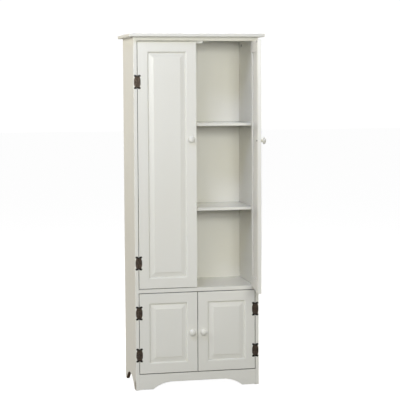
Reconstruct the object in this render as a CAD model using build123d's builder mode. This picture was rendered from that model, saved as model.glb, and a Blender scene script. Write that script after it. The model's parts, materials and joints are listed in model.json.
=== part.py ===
from build123d import *
from math import asin, atan2, degrees
import os

# Tall four-door storage cabinet in painted board, with framed doors on small surface hinges.
# Millimetres. Origin on the floor, in the middle of the case. +X right, +Y to the back, +Z up.

# Case
height = 1829
case_width = 651
case_depth = 340
board = 18
rail = 19.5
top_thick = 16
top_side_overhang = 27
top_front_overhang = 37
hardboard = 3
edge_round = 1.5
top_round = 4
shelf_under = 507.3
sill = 86.7
board_ease = 1
glide_height = 5
glide_radius = 8
rail_depth = 60

# Arched feet
apron_lift = 7
apron_foot = 90
apron_run = 103
apron_rise = 36
side_front_foot = 52
side_back_foot = 27
side_run = 125
side_rise = 56

# Loose shelves and their pins
loose_thick = 14
loose_setback = 25
loose_back_gap = 4
loose_end_gap = 1
loose_heights = (290, 922, 1358.5)
pin_pitch = 38
pin_steps = 2
pin_inset = 37
pin_shank = 2.45
pin_hole = 2.5
pin_stub = 3
pin_depth = 8

# Doors
side_gap = 3
level_gap = 3.3
door_thick = 18
door_ease = 1.2
end_ease = 0.9
member = 57
flat_face = 50
sticking_step = 1
groove_front = 8
groove_back = 13
groove_depth = 10
panel_entry = 8
panel_play = 0.1
bevel_width = 25
bevel_top = 4
field_top = 1.5
rest_opening = 82

# Hinges
pin_proud = 3
leaf_thick = 1.2
knuckle_radius = 2.9
knuckle_bore = 1.55
hinge_pin_radius = 1.5
barrel_half = 28
middle_half = 10
knuckle_play = 0.2
finial_radius = 2.4
finial_centre = 30.4
leaf_start = 3.3
leaf_top = 34.6
leaf_outline = ((10, leaf_top), (11.7, 25), (15.6, 15.5), (17, 0))
lobe_radius = 5.3
lobe_place = (11.8, 30.7)
middle_screw = (9.8, 0)
screw_shank = 1.4
screw_length = 12
screw_head = 2.9
screw_rim = 0.5
screw_crown = 1.7
screw_dome = 1.3
cross_long = 2.6
cross_wide = 0.6
cross_deep = 0.7
upper_hinges = (662, 1586)
lower_hinges = (187, 404.5)

# Knobs
upper_knob = 1292
lower_knob = 296
knob_tall = 27
knob_inset = 28.5
knob_profile = ((9.8, 0), (9.8, 2), (7.8, 4.3), (7, 6.8), (9.3, 10.3), (14.6, 12.5), (17.5, 16), (16.1, 20.2))
knob_screw_radius = 2
knob_screw_depth = 13
knob_washer = 2.4

# Catches
catch_width = 74
catch_high = 13
catch_deep = 18
strike_wide = 30
strike_high = 13
strike_thick = 1
strike_inset = 8
strike_drop = 1
strike_head = 0.4
catch_play = 0.8
catch_screw_back = 32
catch_screw_half = 5
magnet_wide = 26
magnet_high = 8
magnet_back_wall = 6

# Fasteners between boards
cam_radius = 7.5
cam_deep = 12.5
cam_back = 34
cam_axis = 9
cam_slot = (9, 1.6, 1.5)
cam_inset = (50, 47)
dowel_inset = (82, 79)
apron_dowel = 22
apron_cam = 55
rail_dowel_inset = (15, 37)
bolt_radius = 3
bolt_thread = 2.5
bolt_entry = 11
dowel_radius = 4
dowel_in = 18
dowel_out = 11
nail_radius = 0.9
nail_head = 2.2
nail_head_thick = 0.8
nail_length = 14
nail_margin = 20
nail_pitch = 160
nail_off_split = 4.5
nail_columns = (-210, -70, 70, 210)
fit = 0.05
room = 0.1
diagonal = 0.5**0.5

# Places worked out from the sizes above
front = -case_depth / 2
back = case_depth / 2
inner = case_width / 2 - board
board_back = back - hardboard
top_under = height - top_thick
rail_under = top_under - rail
shelf_top = shelf_under + rail
bottom_under = sill - board
behind_apron = front + board
pin_x = inner - side_gap / 2
door_width = (2 * inner - 3 * side_gap) / 2
hinge_edge = side_gap / 2
lock_edge = hinge_edge + door_width
loose_rows = (front + pin_inset + board, board_back - pin_inset)

os.makedirs("parts", exist_ok=True)


def save(piece, name):
    """Label a finished piece and write it as one STEP file."""
    piece.part.label = name
    export_step(piece.part, f"parts/{name}.step")


def block(low, high):
    """A box in the active part from its lowest corner to its highest one."""
    size = [b - a for a, b in zip(low, high)]
    with Locations(tuple((a + b) / 2 for a, b in zip(low, high))):
        Box(*size)


def drill(planes, radius, depth):
    """Blind holes in the active part, against each plane's normal."""
    with Locations(*planes):
        Hole(radius, depth)


def rod(planes, radius, length):
    """Rods in the active part, from each plane along its normal."""
    with Locations(*planes):
        Cylinder(radius, length, align=(Align.CENTER, Align.CENTER, Align.MIN))


def cut_cross(planes, length, width, depth):
    """Cross-shaped driver recesses in the active part, sunk against each plane's normal."""
    with Locations(*planes):
        Box(length, width, 2 * depth, mode=Mode.SUBTRACT)
        Box(width, length, 2 * depth, mode=Mode.SUBTRACT)


def draw_arch(left, right, bottom, run, rise):
    """Low arch between two feet: an arc up from each foot that eases into a level top."""
    radius = (run**2 + rise**2) / (2 * rise)
    turn = degrees(2 * atan2(rise, run))
    level = Line((left + run, bottom + rise), (right - run, bottom + rise))
    JernArc(start=level @ 0, tangent=(-1, 0), radius=radius, arc_size=turn)
    JernArc(start=level @ 1, tangent=(1, 0), radius=radius, arc_size=-turn)


# ---- Joints between the boards: the planes lie on the end that meets the other board ----

sides = (-1, 1)
cam_rows = (front + cam_inset[0], board_back - cam_inset[1])
dowel_rows = (front + dowel_inset[0], board_back - dowel_inset[1])


def end_planes(rows, level):
    """Planes on a level board's two ends, facing the side panels."""
    return [Plane((s * inner, y, level), x_dir=(0, 1, 0), z_dir=(s, 0, 0)) for s in sides for y in rows]


top_dowels = [Plane((s * (inner + board / 2), y, top_under)) for s in sides for y in dowel_rows]
top_bolts = [Plane((s * (inner + cam_axis), y, top_under)) for s in sides for y in cam_rows]
shelf_dowels = end_planes(dowel_rows, shelf_under + cam_axis)
shelf_bolts = end_planes(cam_rows, shelf_under + cam_axis)
bottom_rows = [cam_rows[0] + board, cam_rows[1]]
bottom_dowels = end_planes(dowel_rows, bottom_under + cam_axis)
bottom_bolts = end_planes(bottom_rows, bottom_under + cam_axis)
apron_dowels = end_planes([behind_apron - cam_axis], apron_dowel)
apron_bolts = end_planes([behind_apron - cam_axis], apron_cam)
rail_dowels = end_planes([front + inset for inset in rail_dowel_inset], rail_under + rail / 2)

# Cams sit in the board that the bolt runs back into, with the cam's open face on its surface.
cam_x = inner - cam_back
top_cams = [Plane((s * inner, y, top_under - cam_back), x_dir=(0, 1, 0), z_dir=(-s, 0, 0))
            for s in sides for y in cam_rows]
shelf_cams = [Plane((s * cam_x, y, shelf_under), z_dir=(0, 0, -1)) for s in sides for y in cam_rows]
bottom_cams = [Plane((s * cam_x, y, bottom_under), z_dir=(0, 0, -1)) for s in sides for y in bottom_rows]
apron_cams = [Plane((s * cam_x, behind_apron, apron_cam), x_dir=(1, 0, 0), z_dir=(0, 1, 0)) for s in sides]

dowel_planes = top_dowels + shelf_dowels + bottom_dowels + apron_dowels + rail_dowels
bolt_planes = top_bolts + shelf_bolts + bottom_bolts + apron_bolts
cam_planes = top_cams + shelf_cams + bottom_cams + apron_cams


def reversed_plane(plane):
    """The same place and x direction, facing the other way."""
    return Plane(plane.origin, x_dir=plane.x_dir, z_dir=-plane.z_dir)


def drill_board_end(dowels, bolts, cams):
    """Dowel holes, bolt holes and cam pockets in the board whose end carries the planes."""
    drill(dowels, dowel_radius + fit, dowel_in + room)
    if bolts:
        drill(bolts, bolt_radius + fit, cam_back)
        drill(cams, cam_radius + fit, cam_deep + room)


def drill_mating_board(dowels, bolts):
    """Dowel holes and threaded bolt holes in the board that the planes face."""
    if dowels:
        drill([reversed_plane(p) for p in dowels], dowel_radius + fit, dowel_out + room)
    if bolts:
        drill([reversed_plane(p) for p in bolts], bolt_thread + fit, bolt_entry + room)


# ---- Hinge screws and door places, needed by the side panels ----


def door_frame(hand, bottom, opened):
    """Plane at the foot of a door's hinge pin: x to the right, y into the case, z up."""
    closed = Plane((-hand * pin_x, front - pin_proud, bottom))
    return closed.rotated((0, 0, -hand * opened))


def facing(frame, depth):
    """Plane that lies a given depth behind the door's face and looks out of the case."""
    origin = frame.from_local_coords((0, pin_proud + depth, 0))
    return Plane(origin, x_dir=frame.x_dir, z_dir=-frame.y_dir)


def across(frame, distance):
    """Upright plane across the door at a distance from the hinge pin."""
    origin = frame.from_local_coords((distance, 0, 0))
    return Plane(origin, x_dir=frame.y_dir, z_dir=frame.x_dir)


def face_points(plane, points):
    """Planes on a door or frame face at the given points, all looking out."""
    return [Plane(plane.from_local_coords((x, z, 0)), x_dir=plane.x_dir, z_dir=plane.z_dir)
            for x, z in points]


def leaf_screws(side, centres):
    """Screw places of the leaves on one side of the pin, for hinges at the given heights."""
    lobe_x, lobe_z = lobe_place
    mid_x, mid_z = middle_screw
    places = []
    for z in centres:
        places += [(side * lobe_x, z - lobe_z), (side * lobe_x, z + lobe_z), (side * mid_x, z + mid_z)]
    return places


upper_span = (shelf_top + level_gap, rail_under - level_gap)
lower_span = (sill + level_gap, shelf_under - level_gap)
frame_screw_planes = {}
for hand in sides:
    pillar = facing(door_frame(hand, 0, 0), 0)
    frame_screw_planes[hand] = face_points(pillar, leaf_screws(-hand, upper_hinges + lower_hinges))


# ---- Nails through the back panels into the boards ----

panel_split = shelf_under + rail / 2
back_half = case_width / 2 - edge_round


def nail_points(low, high):
    """Nail places along the two upright edges of a back panel."""
    side_x = inner + board / 2
    length = high - low - 2 * nail_margin
    steps = round(length / nail_pitch)
    return [(s * side_x, low + nail_margin + i * length / steps) for s in sides for i in range(steps + 1)]


def nail_planes(points):
    """Planes at nail places on the outside of the back."""
    return [Plane((x, back, z), x_dir=(1, 0, 0), z_dir=(0, 1, 0)) for x, z in points]


upper_nails = nail_points(panel_split, top_under)
upper_nails += [(x, panel_split + nail_off_split) for x in nail_columns]
lower_nails = nail_points(bottom_under, panel_split)
lower_nails += [(x, panel_split - nail_off_split) for x in nail_columns]
lower_nails += [(x, bottom_under + board / 2) for x in nail_columns]


def drill_nails(keep):
    """Nail holes in the back edge of the active board, at the places that keep accepts."""
    points = [p for p in upper_nails + lower_nails if keep(*p)]
    drill([p.offset(-hardboard) for p in nail_planes(points)], nail_radius + fit, nail_length)


# ---- Case ----

catch_screws, lower_catch_screws = [
    [Plane((s * catch_screw_half, front + catch_screw_back, under), z_dir=(0, 0, -1)) for s in sides]
    for under in (rail_under, shelf_under)]


def loose_pin_points(y):
    """Heights of the shelf pin holes in one row, five about the upper shelves and three below."""
    points = []
    for index, under in enumerate(loose_heights):
        steps = pin_steps if index else pin_steps - 1
        points += [(y, under - pin_stub + k * pin_pitch) for k in range(-steps, steps + 1)]
    return points


def side_panel(hand):
    """Full-height side with an arched foot cut-out and every hole it needs."""
    with BuildPart() as panel:
        outer = inner if hand > 0 else -inner - board
        with BuildSketch(Plane.YZ.offset(outer)):
            with BuildLine():
                Polyline((front + side_front_foot, glide_height), (front, glide_height), (front, top_under),
                         (board_back, top_under), (board_back, glide_height),
                         (board_back - side_back_foot, glide_height))
                draw_arch(front + side_front_foot, board_back - side_back_foot, glide_height,
                          side_run, side_rise)
            make_face()
        extrude(amount=board)
        front_edges = panel.edges().filter_by(Axis.Z).group_by(Axis.Y)[0]
        fillet(front_edges.sort_by(Axis.X)[-1 if hand > 0 else 0], edge_round)
        own = slice(2, 4) if hand > 0 else slice(0, 2)
        drill_board_end(top_dowels[own], top_bolts[own], top_cams[own])
        drill_mating_board(shelf_dowels[own] + bottom_dowels[own] + rail_dowels[own],
                           shelf_bolts[own] + bottom_bolts[own])
        single = slice(1, 2) if hand > 0 else slice(0, 1)
        drill_mating_board(apron_dowels[single], apron_bolts[single])
        holes = [Plane((hand * inner, y, z), x_dir=(0, 1, 0), z_dir=(-hand, 0, 0))
                 for row in loose_rows for y, z in loose_pin_points(row)]
        drill(holes, pin_hole, pin_depth + room)
        drill(frame_screw_planes[-hand], screw_shank + fit, screw_length + room)
        drill_nails(lambda x, z: x * hand > inner)
    return panel


left_side_panel = side_panel(-1)
save(left_side_panel, "left_side_panel")
right_side_panel = side_panel(1)
save(right_side_panel, "right_side_panel")

with BuildPart() as top_board:
    half = case_width / 2 + top_side_overhang
    block((-half, front - top_front_overhang, top_under), (half, back, height))
    upright = top_board.edges().filter_by(Axis.Z).group_by(Axis.Y)[0]
    fillet(upright, top_round)
    rims = top_board.faces().filter_by(Axis.Z).edges()
    fillet(rims.filter_by(lambda e: e.center().Y < back - 1), edge_round * 2)
    drill_mating_board(top_dowels, top_bolts)
save(top_board, "top_board")

with BuildPart() as top_rail:
    block((-inner, front, rail_under), (inner, front + rail_depth, top_under))
    face_edges = top_rail.faces().sort_by(Axis.Y)[0].edges()
    fillet(face_edges.filter_by(lambda e: e.center().Z < top_under - 1), board_ease)
    drill_board_end(rail_dowels, [], [])
    drill(catch_screws, screw_shank + fit, screw_length + room)
save(top_rail, "top_rail")

with BuildPart() as middle_shelf:
    block((-inner, front, shelf_under), (inner, board_back, shelf_top))
    fillet(middle_shelf.faces().sort_by(Axis.Y)[0].edges(), board_ease)
    drill_board_end(shelf_dowels, shelf_bolts, shelf_cams)
    drill(lower_catch_screws, screw_shank + fit, screw_length + room)
    drill_nails(lambda x, z: abs(x) < inner and shelf_under < z < shelf_top)
save(middle_shelf, "middle_shelf")

with BuildPart() as bottom_shelf:
    block((-inner, behind_apron, bottom_under), (inner, board_back, sill))
    drill_board_end(bottom_dowels, bottom_bolts, bottom_cams)
    drill_nails(lambda x, z: abs(x) < inner and z < sill)
save(bottom_shelf, "bottom_shelf")

with BuildPart() as apron:
    with BuildSketch(Plane.XZ.offset(-behind_apron)):
        with BuildLine():
            reach = case_width / 2 - apron_foot
            Polyline((reach, apron_lift), (inner, apron_lift), (inner, sill), (-inner, sill),
                     (-inner, apron_lift), (-reach, apron_lift))
            draw_arch(-reach, reach, apron_lift, apron_run, apron_rise)
        make_face()
    extrude(amount=board)
    face_edges = apron.faces().sort_by(Axis.Y)[0].edges()
    fillet(face_edges.filter_by(lambda e: e.center().Z < sill - 1), board_ease)
    drill_board_end(apron_dowels, apron_bolts, apron_cams)
save(apron, "apron")


def back_panel(low, high, points):
    """Thin hardboard back with a sunk hole for each nail."""
    with BuildPart() as sheet:
        block((-back_half, board_back, low), (back_half, back, high))
        with Locations(*nail_planes(points)):
            CounterBoreHole(nail_radius + fit, nail_head + fit, nail_head_thick + room)
    return sheet


upper_back_panel = back_panel(panel_split, top_under, upper_nails)
save(upper_back_panel, "upper_back_panel")
lower_back_panel = back_panel(bottom_under, panel_split, lower_nails)
save(lower_back_panel, "lower_back_panel")

with BuildPart() as back_nails:
    heads = [p.offset(-nail_head_thick - room) for p in nail_planes(upper_nails + lower_nails)]
    rod(heads, nail_head, nail_head_thick)
    rod([p.offset(-nail_length) for p in heads], nail_radius, nail_length)
save(back_nails, "back_nails")

for name, under in zip(("lower_shelf", "center_shelf", "upper_shelf"), loose_heights):
    with BuildPart() as loose_shelf:
        half = inner - loose_end_gap
        near, far = front + loose_setback, board_back - loose_back_gap
        block((-half, near, under), (half, far, under + loose_thick))
        fillet(loose_shelf.edges().filter_by(Axis.X).group_by(Axis.Y)[0], edge_round)
    save(loose_shelf, name)

with BuildPart() as shelf_pins:
    walls = [Plane((s * inner, y, under - pin_stub), x_dir=(0, 1, 0), z_dir=(s, 0, 0))
             for s in sides for y in loose_rows for under in loose_heights]
    rod(walls, pin_shank, pin_depth)
    rod([reversed_plane(p) for p in walls], pin_stub, pin_depth)
save(shelf_pins, "shelf_pins")

with BuildPart() as foot_glides:
    glide_rows = (front + side_front_foot / 2, board_back - side_back_foot / 2)
    feet = [Plane((s * (inner + board / 2), y, 0)) for s in sides for y in glide_rows]
    rod(feet, glide_radius, glide_height)
    fillet(foot_glides.edges().group_by(Axis.Z)[0], edge_round)
save(foot_glides, "foot_glides")

with BuildPart() as cam_locks:
    rod([p.offset(-cam_deep) for p in cam_planes], cam_radius, cam_deep)
    cut_cross(cam_planes, *cam_slot)
    drill(bolt_planes, bolt_radius + 2 * room, cam_back + room)
save(cam_locks, "cam_locks")

with BuildPart() as cam_bolts:
    rod([p.offset(-cam_back + room) for p in bolt_planes], bolt_radius, cam_back - room)
    rod(bolt_planes, bolt_thread, bolt_entry)
save(cam_bolts, "cam_bolts")

with BuildPart() as dowels:
    rod([p.offset(-dowel_in) for p in dowel_planes], dowel_radius, dowel_in + dowel_out)
save(dowels, "dowels")

# ---- Magnetic catches under the top rail and under the middle shelf ----

catch_front = front + door_thick + strike_thick + catch_play
catch_rear = catch_front + catch_deep
magnet_rear = catch_rear - magnet_back_wall
magnet_centres = [s * (side_gap / 2 + strike_inset + strike_wide / 2) for s in sides]
magnet_places = [(x, under - catch_high / 2) for x in magnet_centres for under in (rail_under, shelf_under)]

with BuildPart() as catches:
    for under in (rail_under, shelf_under):
        block((-catch_width / 2, catch_front, under - catch_high), (catch_width / 2, catch_rear, under))
    magnet_deep = magnet_rear - catch_front
    with Locations(*[(x, catch_front, z) for x, z in magnet_places]):
        Box(magnet_wide, 2 * magnet_deep, magnet_high, mode=Mode.SUBTRACT)
    fillet(catches.edges().filter_by(Axis.Z).group_by(Axis.Y)[-1], edge_round)
    catch_faces = [p.offset(catch_high) for p in catch_screws + lower_catch_screws]
    drill(catch_faces, screw_shank + fit, catch_high)
save(catches, "catches")

with BuildPart() as catch_magnets:
    for x, z in magnet_places:
        half_wide = magnet_wide / 2 - fit
        half_high = magnet_high / 2 - fit
        block((x - half_wide, catch_front, z - half_high), (x + half_wide, magnet_rear - fit, z + half_high))
save(catch_magnets, "catch_magnets")

# ---- Hinges ----


def draw_leaf(side, centre):
    """Outline of one leaf: waisted next to its round tips and full about the middle."""
    bulge = leaf_outline + tuple((x, -z) for x, z in leaf_outline[-2::-1])
    closing = (bulge[-1], (leaf_start, -leaf_top), (leaf_start, leaf_top), bulge[0])
    Spline(*[(side * x, centre + z) for x, z in bulge])
    Polyline(*[(side * x, centre + z) for x, z in closing])


def hinge_leaves(frame, side, centres, spans):
    """Leaves with their knuckles on one side of the pin, one for each hinge height."""
    with BuildPart() as leaves:
        plate = facing(frame, 0)
        for centre in centres:
            with BuildSketch(plate) as outline:
                with BuildLine():
                    draw_leaf(side, centre)
                make_face()
                with Locations(*[(side * lobe_place[0], centre + s * lobe_place[1]) for s in sides]):
                    Circle(lobe_radius)
                for low, high in spans:
                    with Locations((side * leaf_start / 2, centre + (low + high) / 2)):
                        Rectangle(leaf_start, high - low)
            extrude(amount=leaf_thick)
            for low, high in spans:
                rod([frame.offset(centre + low)], knuckle_radius, high - low)
        for centre in centres:
            for low, high in spans:
                drill([frame.offset(centre + high)], knuckle_bore, high - low)
        screws = face_points(plate, leaf_screws(side, centres))
        drill([p.offset(leaf_thick) for p in screws], screw_shank + fit, leaf_thick)
    return leaves


def add_screws(planes, seat):
    """Raised-head screws in the active part; seat is how far the head stands off the plane."""
    rod([p.offset(-screw_length) for p in planes], screw_shank, screw_length + seat)
    rod([p.offset(seat) for p in planes], screw_head, screw_rim)
    with Locations(*[p.offset(seat + screw_rim) for p in planes]):
        Cone(screw_head, screw_crown, screw_dome - screw_rim, align=(Align.CENTER, Align.CENTER, Align.MIN))
    cut_cross([p.offset(seat + screw_dome) for p in planes], cross_long, cross_wide, cross_deep)


frame_spans = [(-barrel_half, -middle_half), (middle_half, barrel_half)]
door_spans = [(-middle_half + knuckle_play, middle_half - knuckle_play)]
case_frames = {hand: door_frame(hand, 0, 0) for hand in sides}
all_hinges = upper_hinges + lower_hinges

for hand, label in ((1, "left"), (-1, "right")):
    leaves = hinge_leaves(case_frames[hand], -hand, all_hinges, frame_spans)
    save(leaves, f"{label}_frame_leaves")

with BuildPart() as hinge_pins:
    for hand in sides:
        feet = [case_frames[hand].offset(z - barrel_half - 1) for z in all_hinges]
        rod(feet, hinge_pin_radius, 2 * barrel_half + 2)
        tips = [case_frames[hand].offset(z + s * finial_centre) for z in all_hinges for s in sides]
        with Locations(*tips):
            Sphere(finial_radius)
save(hinge_pins, "hinge_pins")

with BuildPart() as case_screws:
    for hand in sides:
        add_screws(frame_screw_planes[hand], leaf_thick)
    add_screws(catch_screws + lower_catch_screws, catch_high)
save(case_screws, "case_screws")


# ---- Doors ----


def draw_member(place):
    """Section of a door frame member, with its moulded and grooved inner edge.

    place turns (distance from the outer edge, depth behind the face) into a sketch point.
    """
    moulding = member - flat_face
    groove_floor = member - groove_depth
    eased = door_ease * (1 - diagonal)
    Polyline(*[place(*p) for p in ((flat_face, sticking_step), (flat_face, 0), (door_ease, 0))])
    ThreePointArc(place(door_ease, 0), place(eased, eased), place(0, door_ease))
    Polyline(*[place(*p) for p in ((0, door_ease), (0, door_thick), (member, door_thick),
                                   (member, groove_back), (groove_floor, groove_back),
                                   (groove_floor, groove_front), (member, groove_front))])
    bow = moulding * diagonal
    ThreePointArc(place(member, sticking_step + moulding),
                  place(flat_face + bow, sticking_step + moulding - bow),
                  place(flat_face, sticking_step))


def stile(frame, hand, tall, edge, inward, holes):
    """Upright frame member; edge is its outer edge and inward points to the panel."""
    with BuildPart() as upright_member:
        with BuildSketch(frame):
            with BuildLine():
                draw_member(lambda u, v: (hand * (edge + inward * u), pin_proud + v))
            make_face()
        extrude(amount=tall)
        face = facing(frame, 0)
        edges = upright_member.edges()
        face_edges = edges.filter_by(lambda e: abs(face.to_local_coords(e.center()).Z) < fit)
        fillet(face_edges.group_by(Axis.Z)[0] + face_edges.group_by(Axis.Z)[-1], end_ease)
        for planes, radius, depth in holes:
            drill(planes, radius, depth)
    return upright_member


def door_rail(frame, hand, edge, inward, stiles):
    """Level frame member, coped at both ends to fit the stiles."""
    reach = member - groove_depth
    near = hinge_edge + reach
    far = lock_edge - reach
    start = near if hand > 0 else -far
    with BuildPart() as level_member:
        with BuildSketch(across(frame, start)):
            with BuildLine():
                draw_member(lambda u, v: (pin_proud + v, edge + inward * u))
            make_face()
        extrude(amount=far - near)
        for upright_member in stiles:
            add(upright_member.part, mode=Mode.SUBTRACT)
    return level_member


def raised_panel(frame, hand, tall):
    """Panel whose thin edge sits in the grooves, with a wide bevel up to a raised field."""
    middle = (hand * (hinge_edge + lock_edge) / 2, tall / 2)
    opening = (door_width - 2 * member, tall - 2 * member)
    entry = 2 * panel_entry
    bevel = 2 * bevel_width
    with BuildPart() as filling:
        with BuildSketch(facing(frame, groove_back - panel_play)):
            with Locations(middle):
                Rectangle(opening[0] + entry, opening[1] + entry)
        extrude(amount=groove_back - groove_front - 2 * panel_play)
        with BuildSketch(facing(frame, groove_front + panel_play)):
            with Locations(middle):
                Rectangle(*opening)
        with BuildSketch(facing(frame, bevel_top)):
            with Locations(middle):
                Rectangle(opening[0] - bevel, opening[1] - bevel)
        loft()
        with BuildSketch(facing(frame, bevel_top)):
            with Locations(middle):
                Rectangle(opening[0] - bevel, opening[1] - bevel)
        extrude(amount=bevel_top - field_top)
    return filling


def knob_at(frame, x, z):
    """Round knob with a full head on a narrow neck, bored for its screw."""
    rim, rim_height = knob_profile[-1]
    crown = knob_tall - rim_height
    dome = (rim**2 + crown**2) / (2 * crown)
    base = frame.from_local_coords((x, pin_proud, z))
    section = Plane(base, x_dir=frame.x_dir, z_dir=-frame.z_dir)
    with BuildPart() as turned:
        with BuildSketch(section):
            with BuildLine():
                Polyline((0, knob_tall), (0, 0), *knob_profile[:2])
                for start in (1, 3, 5):
                    ThreePointArc(*knob_profile[start:start + 3])
                turn = -degrees(asin(rim / dome))
                JernArc(start=(0, knob_tall), tangent=(1, 0), radius=dome, arc_size=turn)
            make_face()
        revolve(axis=Axis(base, -frame.y_dir))
        seat = Plane(base, x_dir=frame.x_dir, z_dir=frame.y_dir)
        drill([seat], knob_screw_radius + fit, knob_screw_depth + room)
    return turned


doors = (
    ("upper_left", 1, upper_span, 0, upper_hinges, upper_knob),
    ("upper_right", -1, upper_span, rest_opening, upper_hinges, upper_knob),
    ("lower_left", 1, lower_span, 0, lower_hinges, lower_knob),
    ("lower_right", -1, lower_span, 0, lower_hinges, lower_knob),
)

for name, hand, span, opened, hinge_heights, knob_height in doors:
    low, high = span
    tall = high - low
    frame = door_frame(hand, low, opened)
    face = facing(frame, 0)
    centres = [z - low for z in hinge_heights]
    knob_x = hand * (lock_edge - knob_inset)
    knob_z = knob_height - low
    leaf_planes = face_points(face, leaf_screws(hand, centres))
    knob_hole = face_points(face, [(knob_x, knob_z)])
    strike_x = hand * (lock_edge - strike_inset - strike_wide / 2)
    strike_z = tall - strike_high / 2 - strike_drop
    door_back = facing(frame, door_thick)
    strike_hole = [reversed_plane(p) for p in face_points(door_back, [(strike_x, strike_z)])]

    leaf_holes = [(leaf_planes, screw_shank + fit, screw_length + room)]
    lock_holes = [(knob_hole, knob_screw_radius + fit, door_thick),
                  (strike_hole, screw_shank + fit, screw_length + room)]
    hinge_stile = stile(frame, hand, tall, hinge_edge, 1, leaf_holes)
    lock_stile = stile(frame, hand, tall, lock_edge, -1, lock_holes)
    stiles = (hinge_stile, lock_stile)
    top_member = door_rail(frame, hand, tall, -1, stiles)
    bottom_member = door_rail(frame, hand, 0, 1, stiles)
    panel = raised_panel(frame, hand, tall)

    save(hinge_stile, f"{name}_hinge_stile")
    save(lock_stile, f"{name}_lock_stile")
    save(top_member, f"{name}_top_rail")
    save(bottom_member, f"{name}_bottom_rail")
    save(panel, f"{name}_panel")

    save(knob_at(frame, knob_x, knob_z), f"{name}_knob")
    save(hinge_leaves(frame, hand, centres, door_spans), f"{name}_hinge_leaves")

    with BuildPart() as strike:
        with BuildSketch(door_back):
            with Locations((strike_x, strike_z)):
                Rectangle(strike_wide, strike_high)
        extrude(amount=-strike_thick)
        drill([p.offset(strike_thick) for p in strike_hole], screw_shank + fit, strike_thick)
    save(strike, f"{name}_strike")

    with BuildPart() as door_screws:
        add_screws(leaf_planes, leaf_thick)
        knob_back = [reversed_plane(p).offset(door_thick) for p in knob_hole]
        knob_screw = door_thick + knob_screw_depth
        rod([p.offset(-knob_screw) for p in knob_back], knob_screw_radius, knob_screw)
        rod(knob_back, 2 * knob_screw_radius, knob_washer)
        rod([p.offset(-screw_length) for p in strike_hole], screw_shank, screw_length + strike_thick)
        rod([p.offset(strike_thick) for p in strike_hole], 2 * screw_shank, strike_head)
    save(door_screws, f"{name}_screws")
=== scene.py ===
import json
import math

import bpy
from mathutils import Matrix, Vector

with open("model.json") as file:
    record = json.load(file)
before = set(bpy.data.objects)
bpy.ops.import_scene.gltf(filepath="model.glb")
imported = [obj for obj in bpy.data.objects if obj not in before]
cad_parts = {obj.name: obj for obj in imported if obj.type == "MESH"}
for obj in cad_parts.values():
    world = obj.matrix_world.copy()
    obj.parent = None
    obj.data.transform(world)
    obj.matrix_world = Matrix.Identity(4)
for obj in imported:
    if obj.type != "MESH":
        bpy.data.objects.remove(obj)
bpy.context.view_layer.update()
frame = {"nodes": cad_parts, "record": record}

# Metres, in the frame of the cabinet: +X right, +Y to the back, +Z up, origin on the floor.
nodes = frame["nodes"]

edge_flat = 0.995  # cosine between the true and the rounded normal: no edge from here up
edge_sharp = 0.80  # and a full edge from here down
gap_open = 0.46  # share of open air round a point: no painted shade from here up
gap_tight = 0.16  # and the most painted shade from here down
gap_shade_most = 0.92  # share of painted shade colour at its most


# ---- Node graph helpers ----


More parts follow.
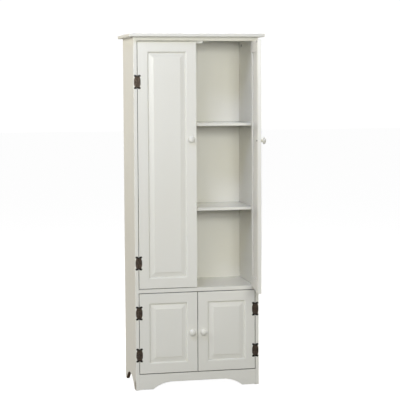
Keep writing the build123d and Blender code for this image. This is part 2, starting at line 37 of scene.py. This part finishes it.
class Graph:
    """One material's node tree, with short calls for the nodes that the finishes share."""

    def __init__(self, name):
        self.material = bpy.data.materials.new(name)
        self.material.use_nodes = True
        self.tree = self.material.node_tree
        self.shader = self.tree.nodes["Principled BSDF"]
        self.place = self.node("ShaderNodeTexCoord").outputs["Object"]

    def node(self, kind, **settings):
        """A new node with its settings made."""
        made = self.tree.nodes.new(kind)
        for key, value in settings.items():
            setattr(made, key, value)
        return made

    def join(self, source, target):
        """A number is set on the socket, and anything else is linked to it."""
        if isinstance(source, bpy.types.NodeSocket):
            self.tree.links.new(source, target)
        else:
            target.default_value = source

    def stretched(self, x, y, z):
        """The place in the cabinet, scaled along each axis."""
        mapping = self.node("ShaderNodeMapping")
        self.join(self.place, mapping.inputs["Vector"])
        mapping.inputs["Scale"].default_value = (x, y, z)
        return mapping.outputs["Vector"]

    def noise(self, scale, detail=3.0, rough=0.55, vector=None):
        """Soft noise from 0 to 1; scale is its patches per metre."""
        made = self.node("ShaderNodeTexNoise")
        self.join(vector or self.place, made.inputs["Vector"])
        made.inputs["Scale"].default_value = scale
        made.inputs["Detail"].default_value = detail
        made.inputs["Roughness"].default_value = rough
        return made.outputs["Fac"]

    def math(self, operation, a, b=0.0):
        """The result of one math node on numbers or sockets."""
        made = self.node("ShaderNodeMath", operation=operation)
        for value, socket in zip((a, b), made.inputs):
            self.join(value, socket)
        return made.outputs[0]

    def spread(self, value, low, high, to_low=0.0, to_high=1.0, smooth=False):
        """value taken from one range to another, and held at its ends."""
        kind = "SMOOTHSTEP" if smooth else "LINEAR"
        made = self.node("ShaderNodeMapRange", interpolation_type=kind)
        for source, socket in zip((value, low, high, to_low, to_high), made.inputs):
            self.join(source, socket)
        return made.outputs["Result"]

    def blend(self, share, a, b):
        """Colour a turning into colour b as share goes from 0 to 1."""
        made = self.node("ShaderNodeMix", data_type="RGBA")
        self.join(share, made.inputs["Factor"])
        for value, socket in ((a, made.inputs["A"]), (b, made.inputs["B"])):
            self.join(value if isinstance(value, bpy.types.NodeSocket) else (*value, 1.0), socket)
        return made.outputs["Result"]

    def edges(self, width):
        """1 on edges and corners within width, and 0 on flat faces."""
        rounded = self.node("ShaderNodeBevel", samples=4)
        rounded.inputs["Radius"].default_value = width
        flat = self.node("ShaderNodeNewGeometry").outputs["Normal"]
        dot = self.node("ShaderNodeVectorMath", operation="DOT_PRODUCT")
        self.join(rounded.outputs["Normal"], dot.inputs[0])
        self.join(flat, dot.inputs[1])
        return self.spread(dot.outputs["Value"], edge_flat, edge_sharp)

    def crevice_shade(self, reach):
        """Painted shade: 1 deep in gaps and corners narrower than reach, and 0 on open faces."""
        open_air = self.node("ShaderNodeAmbientOcclusion", samples=6)
        open_air.inputs["Distance"].default_value = reach
        return self.spread(open_air.outputs["AO"], gap_open, gap_tight, 0.0, gap_shade_most)

    def bump(self, height, depth, distance=0.001):
        """A normal raised by height, up to distance in metres, at the strength depth."""
        made = self.node("ShaderNodeBump")
        made.inputs["Strength"].default_value = depth
        made.inputs["Distance"].default_value = distance
        self.join(height, made.inputs["Height"])
        return made.outputs["Normal"]

    def finish(self, colour, rough, normal):
        """The material, with its colour, roughness and normal joined to the shader."""
        self.join(colour, self.shader.inputs["Base Color"])
        self.join(rough, self.shader.inputs["Roughness"])
        self.join(normal, self.shader.inputs["Normal"])
        return self.material


# ---- Finishes ----

paint_colour = (0.88, 0.87, 0.81)
paint_warm = (0.86, 0.84, 0.755)
board_brown = (0.17, 0.095, 0.048)
# Colour of the painted shade in gaps and corners.
crevice_shade_brown = (0.045, 0.036, 0.024)
tip_black = (0.012, 0.010, 0.008)
hinge_heights = (0.187, 0.4045, 0.662, 1.586)
tip_start = 0.0245  # from the hinge's middle up or down
tip_full = 0.0275
side_inner = 0.3076  # X just past the side panels' inner faces
arch_top = 0.066  # Z above the side panels' arches
case_front = -0.165  # Y just behind the case's front face
foot_back = -0.115  # Y where the front feet's brown ends
foot_middle = 0.035  # Z from which the front feet's brown is darkest, down to the floor


def paint_layers(g, gloss):
    """Colour, roughness and normal of the sprayed satin paint: faint clouds, specks and orange peel."""
    clouds = g.noise(2.2, detail=4.0)
    streaks = g.noise(9.0, vector=g.stretched(1.0, 1.0, 0.12))
    colour = g.blend(g.spread(clouds, 0.35, 0.70, 0.0, 0.35), paint_colour, paint_warm)
    colour = g.blend(g.spread(streaks, 0.45, 0.75, 0.0, 0.18), colour, paint_warm)
    rough = g.spread(g.noise(7.0), 0.3, 0.7, 0.95 * gloss, 1.07 * gloss)
    # Painted shade: gaps, joints and corners darkened towards brown, where shade falls.
    colour = g.blend(g.crevice_shade(0.012), colour, crevice_shade_brown)
    peel = g.noise(620.0, detail=2.0)
    return colour, rough, g.bump(peel, 0.06, 0.0002)


def cut_edge(g):
    """1 where the side panels' feet are brown and 0 elsewhere.

    That is the bare board of each arch's sawn edge, and the outer face of each front foot, browner
    towards the front edge and the floor.
    """
    place = g.node("ShaderNodeSeparateXYZ")
    g.join(g.place, place.inputs[0])
    facing = g.node("ShaderNodeSeparateXYZ")
    g.join(g.node("ShaderNodeNewGeometry").outputs["True Normal"], facing.inputs[0])
    sawn = g.math("LESS_THAN", g.math("ABSOLUTE", facing.outputs["X"]), 0.35)
    ragged = g.spread(g.noise(260.0), 0.35, 0.65, 0.4, 1.0)
    sawn = g.math("MAXIMUM", sawn, g.math("MULTIPLY", g.edges(0.003), ragged))
    low = g.math("LESS_THAN", place.outputs["Z"], arch_top)
    behind_front = g.math("GREATER_THAN", place.outputs["Y"], case_front)
    sawn = g.math("MULTIPLY", sawn, g.math("MULTIPLY", low, behind_front))
    # The outer face of each front foot is made browner towards the front edge and the floor.
    outside = g.math("GREATER_THAN", g.math("ABSOLUTE", facing.outputs["X"]), 0.7)
    forward = g.spread(place.outputs["Y"], foot_back, case_front, smooth=True)
    down = g.spread(place.outputs["Z"], arch_top, foot_middle, 0.0, 0.8, smooth=True)
    front_foot_brown = g.math("MULTIPLY", outside, g.math("MULTIPLY", forward, down))
    on_side = g.math("GREATER_THAN", g.math("ABSOLUTE", place.outputs["X"]), side_inner)
    return g.math("MULTIPLY", g.math("MAXIMUM", sawn, front_foot_brown), on_side)


def painted(name, gloss, sawn=False):
    """Painted board, rubbed thin here and there on its edges, and brown where sawn."""
    g = Graph(name)
    colour, rough, normal = paint_layers(g, gloss)
    rubbed = g.math("MULTIPLY", g.edges(0.0012), g.spread(g.noise(85.0), 0.56, 0.72))
    colour = g.blend(g.math("MULTIPLY", rubbed, 0.25), colour, board_brown)
    if sawn:
        colour = g.blend(cut_edge(g), colour, board_brown)
    g.shader.inputs["Coat Weight"].default_value = 0.06
    g.shader.inputs["Coat Roughness"].default_value = 0.25
    return g.finish(colour, rough, normal)


def tip_shade(g):
    """1 on the round tips of the hinges, which are coloured almost black, and 0 between them."""
    place = g.node("ShaderNodeSeparateXYZ")
    g.join(g.place, place.inputs[0])
    away = 1.0
    for height in hinge_heights:
        offset = g.math("ABSOLUTE", g.math("SUBTRACT", place.outputs["Z"], height))
        away = g.math("MINIMUM", offset, away)
    return g.spread(away, tip_start, tip_full)


def bronze(name, dark, light, worn):
    """Dark lacquered metal: mottled, a little rough, rubbed where the edges stand out."""
    g = Graph(name)
    dents = g.node("ShaderNodeTexVoronoi", feature="SMOOTH_F1")
    g.join(g.place, dents.inputs["Vector"])
    dents.inputs["Scale"].default_value = 330.0
    patches = g.noise(190.0)
    high = g.math("MULTIPLY", g.edges(0.0006), g.spread(patches, 0.35, 0.6))
    colour = g.blend(g.spread(patches, 0.40, 0.65), dark, light)
    # The hinges' round tips are coloured almost black.
    colour = g.blend(tip_shade(g), colour, tip_black)
    colour = g.blend(g.math("MULTIPLY", high, 0.5), colour, worn)
    rough = g.spread(g.noise(240.0), 0.3, 0.7, 0.34, 0.58)
    g.shader.inputs["Metallic"].default_value = 0.6
    return g.finish(colour, rough, g.bump(dents.outputs["Distance"], 0.35, 0.0004))


def steel(name):
    """Zinc-plated steel, cloudy and finely lined."""
    g = Graph(name)
    colour = g.blend(g.noise(120.0), (0.42, 0.42, 0.40), (0.62, 0.62, 0.60))
    lines = g.noise(300.0, vector=g.stretched(1.0, 1.0, 9.0))
    g.shader.inputs["Metallic"].default_value = 1.0
    return g.finish(colour, g.spread(lines, 0.3, 0.7, 0.28, 0.48), g.bump(lines, 0.12, 0.0003))


def plastic(name, tint):
    """Moulded plastic with a fine grain."""
    g = Graph(name)
    grain = g.noise(900.0, detail=2.0)
    darker = tuple(0.9 * c for c in tint)
    colour = g.blend(g.noise(40.0), tint, darker)
    return g.finish(colour, g.spread(grain, 0.3, 0.7, 0.42, 0.55), g.bump(grain, 0.12, 0.0004))


def hardboard(name):
    """Painted like the rest on the side that faces into the case, and raw brown behind."""
    g = Graph(name)
    colour, rough, normal = paint_layers(g, 0.30)
    fibres = g.noise(420.0, detail=5.0, rough=0.7, vector=g.stretched(1.0, 1.0, 0.45))
    raw = g.blend(g.spread(fibres, 0.3, 0.7), (0.20, 0.115, 0.062), (0.34, 0.215, 0.125))
    raw = g.blend(g.spread(g.noise(5.0), 0.4, 0.7, 0.0, 0.35), raw, (0.15, 0.085, 0.045))
    split = g.node("ShaderNodeSeparateXYZ")
    g.join(g.node("ShaderNodeNewGeometry").outputs["Normal"], split.inputs[0])
    behind = g.math("GREATER_THAN", split.outputs["Y"], -0.5)
    colour = g.blend(behind, colour, raw)
    rough = g.spread(behind, 0.0, 1.0, rough, 0.62)
    return g.finish(colour, rough, normal)


def bare_wood(name):
    """Unfinished beech, its grain along X."""
    g = Graph(name)
    rings = g.noise(260.0, vector=g.stretched(0.1, 1.0, 1.0))
    colour = g.blend(rings, (0.50, 0.34, 0.18), (0.64, 0.47, 0.28))
    return g.finish(colour, g.spread(rings, 0.3, 0.7, 0.5, 0.65), g.bump(rings, 0.2, 0.0004))


finishes = {
    "painted_board": painted("board_paint", gloss=0.38, sawn=True),
    "painted_door": painted("door_paint", gloss=0.32),
    "knob_paint": painted("knob_paint", gloss=0.24),
    "shelf": painted("shelf_paint", gloss=0.11),
    # The cam locks are made far darker than bare zinc: partly the metal's own grey, partly painted shade
    # for the holes they sit in.
    "locks": bronze("zinc_with_hole_shade", (0.05, 0.05, 0.047), (0.10, 0.10, 0.095), (0.30, 0.30, 0.29)),
    "hardboard": hardboard("hardboard"),
    "bronze": bronze("antique_bronze", (0.064, 0.045, 0.034), (0.118, 0.086, 0.064), (0.28, 0.20, 0.15)),
    "screws": bronze("screw_black", (0.006, 0.005, 0.004), (0.014, 0.012, 0.010), (0.07, 0.06, 0.045)),
    "steel": steel("zinc_steel"),
    "plastic": plastic("white_plastic", (0.78, 0.78, 0.74)),
    "bare_wood": bare_wood("beech"),
}

# The last word of a node's name picks its finish if it is one, and otherwise its slot does.
for subpart in frame["record"]["subparts"]:
    node = subpart["node"]
    kind = node.split("_")[-1]
    mesh = nodes[node].data
    mesh.materials.clear()
    mesh.materials.append(finishes[kind if kind in finishes else subpart["material_slot"]])


# ---- Floor ----


def pale_floor():
    """Almost white as seen, and a mid grey for the light that bounces off it."""
    size = 40.0
    mesh = bpy.data.meshes.new("floor")
    corners = [(x * size, y * size, 0.0) for x, y in ((-1, -1), (1, -1), (1, 1), (-1, 1))]
    mesh.from_pydata(corners, [], [(0, 1, 2, 3)])
    floor = bpy.data.objects.new("floor", mesh)
    bpy.context.collection.objects.link(floor)
    g = Graph("pale_floor")
    seen = g.node("ShaderNodeLightPath").outputs["Is Camera Ray"]
    grain = g.noise(30.0)
    pale = g.blend(grain, (0.30, 0.30, 0.30), (0.34, 0.34, 0.34))
    g.shader.inputs["Emission Color"].default_value = (1.0, 1.0, 1.0, 1.0)
    g.join(g.spread(seen, 0.0, 1.0, 0.0, 0.97), g.shader.inputs["Emission Strength"])
    g.finish(g.blend(seen, (0.21, 0.21, 0.21), pale), 0.9, g.bump(grain, 0.05))
    mesh.materials.append(g.material)


pale_floor()


# ---- Light ----


def softbox(name, place, width, tall, watts):
    """Area light turned to the cabinet; watts gives its power in red, green and blue."""
    power = max(watts)
    light = bpy.data.lights.new(name, "AREA")
    light.shape = "RECTANGLE"
    light.size = width
    light.size_y = tall
    light.energy = power
    light.color = [w / power for w in watts]
    box = bpy.data.objects.new(name, light)
    bpy.context.collection.objects.link(box)
    box.location = place
    box.rotation_euler = (Vector((0.0, 0.0, 1.2)) - Vector(place)).to_track_quat("-Z", "Y").to_euler()


def studio_sky():
    """White as seen, and a dim even fill as light."""
    world = bpy.data.worlds.new("studio")
    world.use_nodes = True
    tree = world.node_tree
    fill = tree.nodes["Background"]
    fill.inputs["Color"].default_value = (1.0, 1.0, 1.0, 1.0)
    fill.inputs["Strength"].default_value = 0.03
    white = tree.nodes.new("ShaderNodeBackground")
    white.inputs["Color"].default_value = (1.0, 1.0, 1.0, 1.0)
    white.inputs["Strength"].default_value = 1.05
    seen = tree.nodes.new("ShaderNodeLightPath")
    mix = tree.nodes.new("ShaderNodeMixShader")
    tree.links.new(seen.outputs["Is Camera Ray"], mix.inputs["Fac"])
    tree.links.new(fill.outputs["Background"], mix.inputs[1])
    tree.links.new(white.outputs["Background"], mix.inputs[2])
    tree.links.new(mix.outputs["Shader"], tree.nodes["World Output"].inputs["Surface"])
    bpy.context.scene.world = world


studio_sky()
softbox("key", (-0.5, -6.2, 2.2), 1.5, 1.2, (147.0, 148.5, 141.0))
softbox("front_fill", (-1.8, -4.8, 2.8), 2.0, 1.5, (27.0, 25.0, 19.0))
softbox("left_front", (-3.0, -1.5, 2.8), 1.6, 1.6, (35.0, 36.5, 37.0))
softbox("left_low", (-3.4, -0.4, 2.0), 1.6, 1.6, (8.0, 6.0, 5.5))
softbox("left_back", (-3.2, 1.2, 2.4), 1.6, 1.6, (66.0, 63.0, 54.0))
softbox("upper_left", (-1.4, -3.0, 4.4), 0.9, 0.9, (24.0, 27.0, 43.0))
softbox("right", (3.4, 0.3, 2.4), 1.6, 1.6, (72.0, 70.0, 65.0))
softbox("top_back", (0.5, 1.3, 4.4), 1.6, 1.2, (80.0, 79.0, 74.0))
softbox("back", (1.7, 4.6, 2.2), 1.5, 1.2, (60.0, 59.0, 54.0))


# ---- Camera ----


camera_place = (-1.3927, -6.7092, 1.5576)
camera_heading = 12.153  # degrees to the right of straight back
camera_tilt = -4.06  # degrees up from level
camera_lean = -0.299  # degrees about the line of sight


def photo_camera():
    """Long lens at eye height, a little to the left of the cabinet."""
    lens = bpy.data.cameras.new("camera")
    lens.lens = 117.62
    lens.sensor_width = 36.0
    lens.shift_y = -0.05
    lens.clip_end = 200.0
    camera = bpy.data.objects.new("camera", lens)
    bpy.context.collection.objects.link(camera)
    heading = math.radians(camera_heading)
    tilt = math.radians(camera_tilt)
    lean = math.radians(camera_lean)
    turn = Matrix.Rotation(-heading, 4, "Z") @ Matrix.Rotation(math.pi / 2 + tilt, 4, "X")
    camera.matrix_world = (Matrix.Translation(camera_place) @ turn
                           @ Matrix.Rotation(lean, 4, "Z"))
    bpy.context.scene.camera = camera


photo_camera()
bpy.context.scene.view_settings.view_transform = "Standard"
